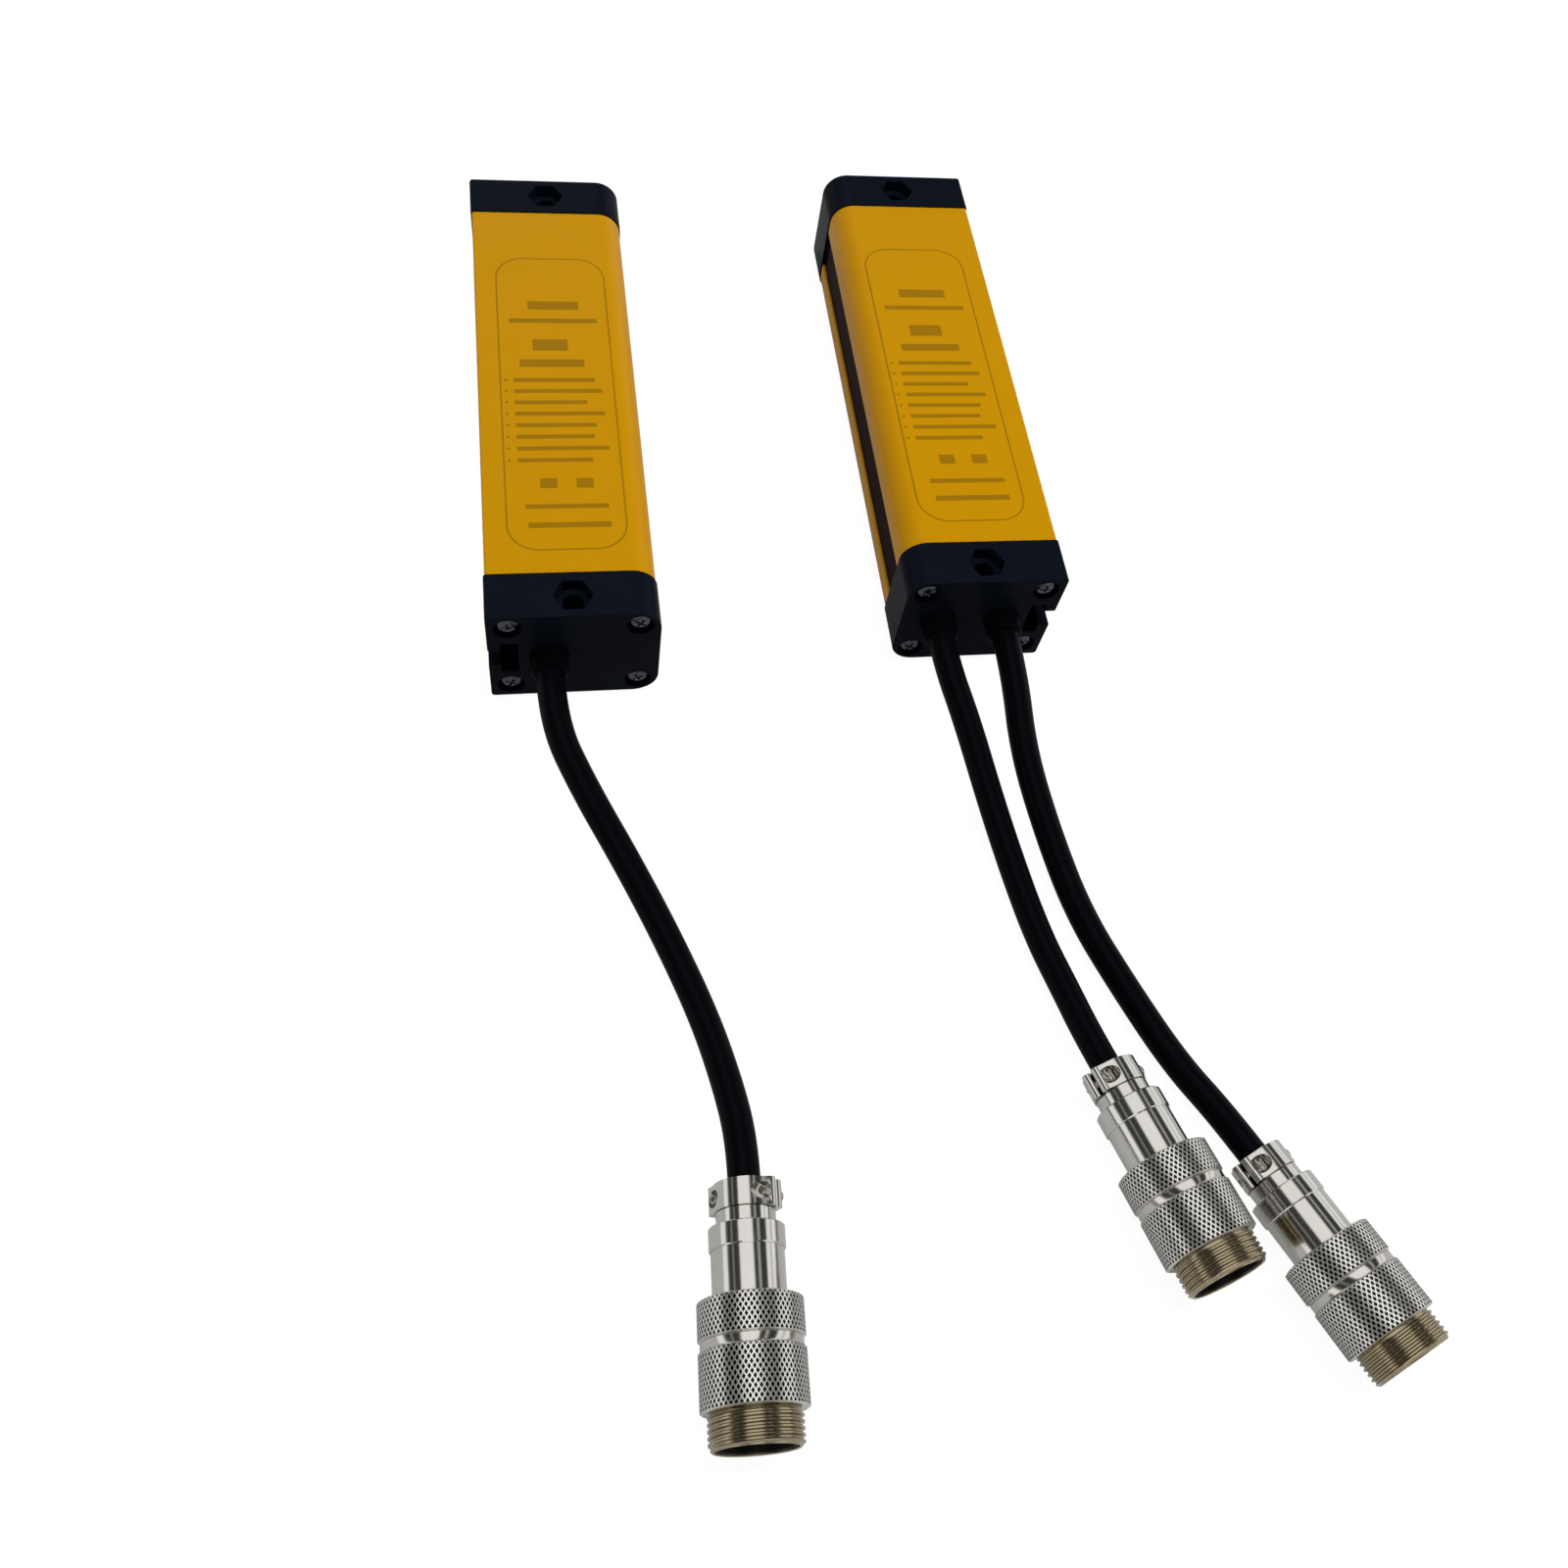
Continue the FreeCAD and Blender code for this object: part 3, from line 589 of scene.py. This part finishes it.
for bar, sizes in bars.items():
    for end, place in (("near", sizes["place"]), ("far", far_place(sizes))):
        cutters = []
        for x, z in screw_places(sizes):
            cutters.append(rod(recess_radius, (x, -1, z), (0, 1, 0), recess_depth + 1))
            cutters.append(rod(shank_radius, (x, 0, z), (0, 1, 0), sizes["cap"] + 1, sides=32))
        if end == "near":
            for x in gland_places(bar).values():
                start = (x, -1, sizes["height"] / 2)
                cutters.append(rod(gland_seat_radius, start, (0, 1, 0), gland_seat_depth + 1))
        nut_radius = nut_across_flats / 2 / math.cos(math.pi / 6)
        pocket = rod(nut_radius, (0, bolt_inset, sizes["height"] - nut_depth), (0, 0, 1), nut_depth + 1,
                     sides=6)
        bmesh.ops.rotate(pocket, verts=pocket.verts, cent=(0, bolt_inset, 0),
                         matrix=Matrix.Rotation(math.radians(30), 3, "Z"))
        cutters.append(pocket)
        cutters.append(rod(bolt_radius, (0, bolt_inset, -1), (0, 0, 1), sizes["height"]))
        outline = bar_outline(sizes, 0.0, [(sizes["width"] / 2, sizes["height"] / 2)])
        name = "%s_%s_cap_moulding" % (bar, end)
        mesh = softened(prism(outline, 0, sizes["cap"]), name, edge=0.25, cutters=cutters, place=place)
        piece(name, mesh, cap_nylon, "end_cap", "%s_%s_cap" % (bar, end))


# Cap screws
# Pan heads with a cross recess, in dark zinc-plated steel. Four sink into each cap's end face and
# hold it to the extrusion.

# Dark zinc plate: a dark grey metal with small sharp glints
dark_zinc = finish("dark zinc-plated steel", "#4e4f54", 0.2, metallic=1.0, grain_mm=0.3, bump=0.05)
head_radius, head_height, shank, shank_length = 2.5, 1.6, 1.4, 8
cross_reach, cross_width, cross_depth = 2.6, 0.55, 0.9


def rings_about_x(form, outline, around):
    """A ring of vertices for each (x, radius) point of an outline."""
    turns = [2 * math.pi * i / around for i in range(around)]
    return [[form.verts.new((x, r * math.cos(turn), r * math.sin(turn))) for turn in turns]
            for x, r in outline]


def lathed(outline, around=64):
    """Closed ring turned about X from a loop of (x, radius) points."""
    form = bmesh.new()
    rings = rings_about_x(form, outline, around)
    for k in range(len(rings)):
        for i in range(around):
            form.faces.new((rings[k - 1][i - 1], rings[k - 1][i], rings[k][i], rings[k][i - 1]))
    bmesh.ops.recalc_face_normals(form, faces=form.faces)
    return form


def capped_lathe(outline, around=48):
    """Solid turned about X from an open line of (x, radius) points, closed at both ends."""
    form = bmesh.new()
    rings = rings_about_x(form, outline, around)
    for here, there in zip(rings, rings[1:]):
        for i in range(around):
            form.faces.new((here[i - 1], here[i], there[i], there[i - 1]))
    form.faces.new(rings[0])
    form.faces.new(rings[-1])
    bmesh.ops.recalc_face_normals(form, faces=form.faces)
    return form


def block(centre, size):
    """Plain block about a centre."""
    form = bmesh.new()
    bmesh.ops.create_cube(form, size=1.0)
    form.transform(Matrix.Translation(centre) @ Matrix.Diagonal((*size, 1)))
    return form


def joined(parts, name, *finishes):
    """One mesh from several, with its finishes if it has more than one."""
    form = bmesh.new()
    for part in parts:
        form.from_mesh(part)
    mesh = bpy.data.meshes.new(name)
    for material in finishes:
        mesh.materials.append(material)
    form.to_mesh(mesh)
    form.free()
    mesh.shade_smooth()
    mesh.set_sharp_from_angle(angle=math.radians(smooth_limit))
    return mesh


for bar, sizes in bars.items():
    heads = []
    for place in (sizes["place"], far_place(sizes)):
        for x, z in screw_places(sizes):
            line = [(0.0, 0.9), (0.12, 1.5), (0.4, 2.15), (0.8, 2.45), (head_height, head_radius),
                    (head_height, shank), (head_height + shank_length, shank)]
            # Each head has stopped at a turn of its own
            spin = Matrix.Rotation(math.radians(25 + 37 * (x > 0) + 61 * (z > sizes["height"] / 2)), 4, "X")
            cross = []
            for across, up in ((cross_reach, cross_width), (cross_width, cross_reach)):
                cross.append(block(((cross_depth - 1) / 2, 0, 0), (cross_depth + 1, across, up)))
                cross[-1].transform(spin)
            seat = place @ Matrix.Translation((x, recess_depth - head_height, z))
            seat = seat @ Matrix.Rotation(math.radians(90), 4, "Z")
            heads.append(softened(capped_lathe(line), bar + "_screw", edge=0.06, cutters=cross,
                                  place=seat, segments=1))
    piece(bar + "_screws", joined(heads, bar + "_screws"), dark_zinc, "cap_screw", bar + "_cap_screws")


# Glands
# Strain reliefs of moulded black rubber, pressed into the near caps, with a rounded nose round
# the cable.

# Rubber: the deepest black, with hardly any highlight
soft_rubber = finish("moulded black rubber", "#030406", 0.4, gloss=0.012, grain_mm=0.3, bump=0.06)
boot_radius, boot_bore, nose_radius = 3.9, 2.8, 0.9
gland_pieces = {}
for bar, sizes in bars.items():
    for name, x in gland_places(bar).items():
        reach = (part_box(bar + "_near_cap")[0].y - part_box(name)[0].y) / MM
        loop = [(gland_seat_depth, boot_bore), (gland_seat_depth, boot_radius), (0.0, boot_radius)]
        loop += arc((nose_radius - reach, boot_radius - nose_radius), nose_radius, 90, 180, 5)
        loop += [(-reach, boot_bore)]
        seat = sizes["place"] @ Matrix.Translation((x, 0, sizes["height"] / 2))
        seat = seat @ Matrix.Rotation(math.radians(90), 4, "Z")
        mesh = mesh_from(lathed(loop), name + "_boot", seat)
        gland_pieces[name] = piece(name + "_boot", mesh, soft_rubber, "gland", name)


# Connectors
# Turned brass with a nickel plate: a knurled front body with the male thread, screwed into a
# knurled rear shell. The knurl is a net of fine ridges round diamond pits, with painted highlight on the
# ridges and painted shade in the pits.

# Polished plate mirrors the room in clear stripes. On the knurl the ridges are blurred and paler by a
# painted highlight, and the pits are dark by a painted shade; on the thread the plate is thin, and the
# brass warms it
nickel = finish("polished nickel plate on brass", "#c8c6c0", 0.13, metallic=1.0, grain_mm=3.0, bump=0.01)
# Painted highlight: a paler copy of the nickel lightens the ridges of the knurl
ridge_painted_highlight_nickel = finish("nickel plate on the ridges of the knurl", "#e6e4de", 0.32,
                        metallic=1.0, grain_mm=3.0, bump=0.01)
# Painted shade: a dark copy of the nickel darkens the pits of the knurl, where shade would fall
pit_painted_shade_nickel = finish("dull nickel plate in the pits of the knurl", "#242322", 0.35, metallic=1.0)
worn_nickel = finish("thin nickel plate on a brass thread", "#a2977d", 0.24,
                     metallic=1.0, grain_mm=3.0, bump=0.01)
knurl_radius, knurl_lines, knurl_lead, knurl_depth = 9.1, 62, 1.45, 0.14
knurl_slide = (-0.1, 0.1, -0.3, 0.3)
knurl_chamfer, rim_share, core_share = 0.25, 0.955, 0.9
thread_radius, thread_pitch, thread_depth = 7.95, 1.0, 0.42
thread_form = (0, 0, 1, 1)
thread_start, thread_end, thread_chamfer = 0.5, 0.4, 0.15
turned_around, turned_smooth, knurled_smooth = 128, 30, 25


def knurled_band(low, high):
    """Ring of diamond pits between crossing flat ridges, on a net whose edges follow the ridges."""
    form = bmesh.new()
    step = len(knurl_slide)
    around, count = knurl_lines * step, round((high - low) * 2 * step / knurl_lead)
    net = []
    for i in range(count + 1):
        row = []
        for j in range(around):
            turn = j + (i % 2) / 2
            one, other = int(turn + i / 2) % step, int(turn - i / 2) % step
            crest = one < step / 2 or other < step / 2
            slide, swing = (knurl_slide[one], knurl_slide[other]) if 0 < i < count else (0, 0)
            x = low + (high - low) * (i + slide - swing) / count
            r = knurl_radius if crest else knurl_radius - knurl_depth
            angle = 2 * math.pi * (turn + (slide + swing) / 2) / around
            row.append((form.verts.new((x, r * math.cos(angle), r * math.sin(angle))), crest))
        net.append(row)
    # Each lozenge of the net is halved so that the cut follows a ridge or the edge of a pit
    for i in range(count + 1):
        for j in range(around):
            left, right = net[i][j - 1], net[i][j]
            between = j if i % 2 else j - 1
            below = net[i - 1][between] if i > 0 else None
            above = net[i + 1][between] if i < count else None
            if below and above and below[1] != above[1] and left[1] == right[1]:
                form.faces.new((below[0], right[0], above[0]))
                form.faces.new((below[0], above[0], left[0]))
            else:
                if below:
                    form.faces.new((below[0], right[0], left[0]))
                if above:
                    form.faces.new((left[0], right[0], above[0]))
    ends = []
    for x, row in ((low - knurl_chamfer, net[0]), (high + knurl_chamfer, net[-1])):
        rim = [form.verts.new((x, v.co.y * rim_share, v.co.z * rim_share)) for v, _ in row]
        core = [form.verts.new((x, v.co.y * core_share, v.co.z * core_share)) for v, _ in row]
        for j in range(around):
            form.faces.new((row[j - 1][0], row[j][0], rim[j], rim[j - 1]))
            form.faces.new((rim[j - 1], rim[j], core[j], core[j - 1]))
        ends.append(core)
    for j in range(around):
        form.faces.new((ends[0][j - 1], ends[0][j], ends[1][j], ends[1][j - 1]))
    bmesh.ops.recalc_face_normals(form, faces=form.faces)
    # Faces that reach a pit's floor take the second finish, a painted shade, and the others take the third,
    # a painted highlight
    for face in form.faces:
        lowest = min(math.hypot(v.co.y, v.co.z) for v in face.verts)
        face.material_index = 1 if abs(lowest - knurl_radius + knurl_depth) < 0.01 else 2
    return form


def threaded_band(low, high):
    """Closed ring with a male thread, on a net whose rows follow the helix and run out at its ends."""
    form = bmesh.new()
    around, steps = turned_around, len(thread_form)
    found = {}

    def point(row, column):
        """Vertex of the net: past the last column comes the same helix, one turn on."""
        row, column = row + steps * (column // around), column % around
        if (row, column) not in found:
            x = low + thread_pitch * ((row + steps * column / around) / steps - 1)
            x = min(max(x, low), high)
            angle = 2 * math.pi * column / around
            fade = max(0.0, min(1.0, (x - low) / thread_start, (high - x) / thread_end))
            r = thread_radius - thread_depth * (1 - fade * thread_form[row % steps])
            r -= thread_chamfer if x in (low, high) else 0.0
            found[row, column] = form.verts.new((x, r * math.cos(angle), r * math.sin(angle)))
        return found[row, column]

    for row in range(round((high - low + thread_pitch) * steps / thread_pitch)):
        for column in range(around):
            form.faces.new((point(row, column), point(row, column + 1),
                            point(row + 1, column + 1), point(row + 1, column)))
    bmesh.ops.remove_doubles(form, verts=form.verts, dist=0.001)
    bmesh.ops.bridge_loops(form, edges=[edge for edge in form.edges if edge.is_boundary])
    bmesh.ops.recalc_face_normals(form, faces=form.faces)
    return form


connector_names = ("emitter_connector", "receiver_link_connector", "receiver_output_connector")
for name in connector_names:
    place = connector_place(name)
    # Front body: spigot, groove, knurl and the shoulder under the thread
    loop = [(21.0, 5.8), (21.0, 6.9), (25.9, 6.9), (26.0, 8.55), (26.2, 8.75), (27.4, 8.75),
            (27.6, 8.85), (27.8, 8.6), (36.9, 8.6), (37.0, 8.4), (37.0, 5.8)]
    turned = [mesh_from(lathed(loop, turned_around), name + "_front_turned", place, turned_smooth),
              mesh_from(knurled_band(27.85, 36.75), name + "_front_knurl", place, knurled_smooth)]
    body = joined(turned, name + "_front_body", nickel, pit_painted_shade_nickel, ridge_painted_highlight_nickel)
    piece(name + "_front_body", body, nickel, "nickel", name + "_body")

    # Male thread round the socket's bore
    loop = [(36.9, 6.9), (36.9, 7.45), (42.5, 7.45), (42.7, 7.3), (42.7, 7.05), (42.55, 6.9)]
    turned = [mesh_from(lathed(loop, turned_around), name + "_sleeve", place, turned_smooth),
              mesh_from(threaded_band(37.0, 42.5), name + "_male_thread", place, turned_smooth)]
    piece(name + "_thread", joined(turned, name + "_thread"), worn_nickel, "nickel")

    # Rear shell: neck, band, barrel and rear knurl
    loop = [(4.8, 3.0), (4.8, 5.0), (5.0, 5.25), (7.3, 5.25), (7.5, 5.4), (7.5, 6.5), (7.7, 6.7),
            (11.3, 6.7), (11.5, 6.55), (11.5, 6.4), (19.5, 6.4), (19.5, 8.4), (19.6, 8.6), (25.9, 8.6),
            (26.0, 8.4), (26.0, 6.95), (21.0, 6.95), (21.0, 5.3), (9.5, 5.3), (9.5, 3.0)]
    turned = [mesh_from(lathed(loop, turned_around), name + "_rear_turned", place, turned_smooth),
              mesh_from(knurled_band(19.85, 25.75), name + "_rear_knurl", place, knurled_smooth)]
    shell = joined(turned, name + "_shell", nickel, pit_painted_shade_nickel, ridge_painted_highlight_nickel)
    piece(name + "_shell", shell, nickel, "nickel", name + "_rear_shell")


# Connector inserts and contacts
# Black moulded insulators, each with a collar that lines the mouth and four gilded contacts
# that stand in its face, flush with the floor of the socket.

# Phenolic is matt black, and the gold gives small warm glints in the dark socket
phenolic = finish("moulded black phenolic", "#0b0b0d", 0.45, gloss=0.2, grain_mm=0.4, bump=0.05)
gilding = finish("gilded brass", "#c9a45a", 0.25, metallic=1.0, grain_mm=0.4, bump=0.03)
insert_face, insert_back, tail_end, collar_end = 38.2, 32.2, 29.2, 42.3
insert_radius, collar_bore, collar_edge = 6.85, 6.3, 0.2
dimple_radius, dimple_rise = 1.0, 0.3
contact_count, contact_circle, contact_radius, contact_play = 4, 3.2, 0.8, 0.03
contact_bore, bore_depth = 0.45, 3
for name in connector_names:
    place = connector_place(name)
    line = [(insert_back, insert_radius), (collar_end - collar_edge, insert_radius),
            (collar_end, insert_radius - collar_edge), (collar_end, collar_bore),
            (insert_face, collar_bore - collar_edge), (insert_face, dimple_radius),
            (insert_face + dimple_rise, dimple_radius - collar_edge)]
    holes, pins = [], []
    for number in range(contact_count):
        turn = 2 * math.pi * (number + 0.5) / contact_count
        spot = (contact_circle * math.cos(turn), contact_circle * math.sin(turn))
        holes.append(rod(contact_radius + contact_play, (insert_back - 1, *spot), (1, 0, 0), 8))
        pin = rod(contact_radius, (tail_end, *spot), (1, 0, 0), insert_face - tail_end)
        bore = rod(contact_bore, (insert_face - bore_depth, *spot), (1, 0, 0), bore_depth + 1, sides=24)
        pins.append(softened(pin, name + "_pin", edge=0.08, cutters=[bore], place=place, segments=1))
    mesh = softened(capped_lathe(line, around=96), name + "_insulator", edge=0.08, cutters=holes,
                    place=place, segments=1)
    piece(name + "_insulator", mesh, phenolic, "insulator", name + "_insert")
    piece(name + "_pins", joined(pins, name + "_pins"), gilding, "contact", name + "_contacts")


# Cable clamps
# Half collars that grip the jacket: the shell's own saddle below, a loose strap above, and two
# cheese-head screws through their ears.

# Zinc plate: a little darker and softer than the nickel
clamp_steel = finish("zinc-plated steel screw", "#b3b0a8", 0.2, metallic=1.0, grain_mm=3.0, bump=0.01)
clamp_radius, clamp_length, clamp_bore, clamp_gap, clamp_shoulder = 5.5, 4.8, 2.8, 0.3, 36
ear_end, ear_middle, ear_radius = 5.45, 1.25, 0.95
ear_top = ear_middle + ear_radius
clamp_edge, head_play, tip_play, tip_recess = 0.5, 0.2, 0.1, 0.25
clamp_screw_offset, clamp_head_radius, clamp_head_height = 4.7, 1.4, 1.1
clamp_shank, clamp_tip, clamp_chamfer, clamp_bevel = 0.8, 1.0, 0.3, 0.4
screw_slot = (1.2, 0.45, 4)


def clamp_half(side):
    """Outline of a half collar with rounded ears, above or below the cable."""
    right_ear = arc((ear_end, ear_middle), ear_radius, -90, 80, 8)
    over = arc((0, 0), clamp_radius, clamp_shoulder, 180 - clamp_shoulder, 20)
    inside = [point for point in arc((0, 0), clamp_bore, 180, 0, 24) if point[1] > clamp_gap + 0.1]
    outline = right_ear + over + [(-x, z) for x, z in reversed(right_ear)]
    outline += [(-clamp_bore, clamp_gap), *inside, (clamp_bore, clamp_gap)]
    return [(x, side * z) for x, z in outline]


def dress(name, material):
    """Gives a node of the source its finish."""
    nodes[name].data.materials.clear()
    nodes[name].data.materials.append(material)


clamp_screw_places = (-clamp_screw_offset, clamp_screw_offset)
for name in connector_names:
    place = connector_place(name)
    lay = place @ Matrix.Rotation(math.radians(-90), 4, "Z")
    halves = {}
    # Each half has flat spots cut in its ears, round the screws' heads above and their tips below
    for half, side, spot_height, play in (("_strap", 1, ear_top, head_play),
                                          ("_saddle", -1, tip_recess - ear_top, tip_play)):
        spots = [rod(clamp_head_radius + play, (across, clamp_length / 2, spot_height), (0, 0, side), 5)
                 for across in clamp_screw_places]
        form = prism(clamp_half(side), 0.0, clamp_length)
        halves[half] = softened(form, name + half, clamp_edge, spots, lay, segments=3)
    piece(name + "_strap", halves["_strap"], nickel, "nickel", name + "_clamp_strap")
    piece(name + "_saddle", halves["_saddle"], nickel, "nickel")
    screws = []
    for across in clamp_screw_places:
        tip, head = -ear_top - clamp_tip, ear_top + clamp_head_height
        line = [(tip, clamp_shank - clamp_chamfer), (tip + clamp_chamfer, clamp_shank),
                (ear_top, clamp_shank), (ear_top, clamp_head_radius),
                (head - clamp_chamfer, clamp_head_radius), (head, clamp_head_radius - clamp_bevel)]
        stand = place @ Matrix.Translation((clamp_length / 2, across, 0))
        stand = stand @ Matrix.Rotation(math.radians(-90), 4, "Y")
        slot = block((head, 0, 0), screw_slot)
        screws.append(softened(capped_lathe(line, around=32), name + "_screw", edge=0.05,
                               cutters=[slot], place=stand, segments=1))
    mesh = joined(screws, name + "_screws")
    piece(name + "_screws", mesh, clamp_steel, "clamp_screw", name + "_clamp_screws")
    dress(name + "_grub_screw", worn_nickel)


# Inner pieces
# What the bars hold between the caps and behind the window, which hides it: gaskets, the board
# and its socket, the lens holder with its lenses, lamps, and infrared emitters or photodiodes.
inner_finishes = {
    "_near_gasket": finish("moulded gasket rubber", "#0b0b0c", 0.6),
    "_circuit_board": finish("green solder mask", "#14532d", 0.3),
    "_board_socket": finish("moulded ivory nylon", "#ddd8c8", 0.4),
    "_lens_holder": finish("moulded matt black ABS", "#101012", 0.6),
    "_lenses": finish("dark moulded polycarbonate", "#2a0d0d", 0.1),
    "_status_lamps": finish("milky lamp epoxy", "#cfcabf", 0.3),
    "_infrared_emitters": finish("clear lamp epoxy", "#40404a", 0.15),
    "_photodiodes": finish("dark sensor epoxy", "#151518", 0.2),
}
inner_finishes["_far_gasket"] = inner_finishes["_near_gasket"]
for bar in bars:
    for suffix, look in inner_finishes.items():
        if bar + suffix in nodes:
            dress(bar + suffix, look)


# What each cable joins
# A cable runs from its gland to its connector, and both go with it. It is flexible, and lies
# loose on the floor.
for name, jacket in cables.items():
    gland_name = name.replace("_cable", "_gland")
    connector = name.replace("_cable", "_connector")
    with_pieces = [o for o in scene.objects if o.name.startswith(connector) and not o.hide_render]
    with_pieces.append(gland_pieces[gland_name])
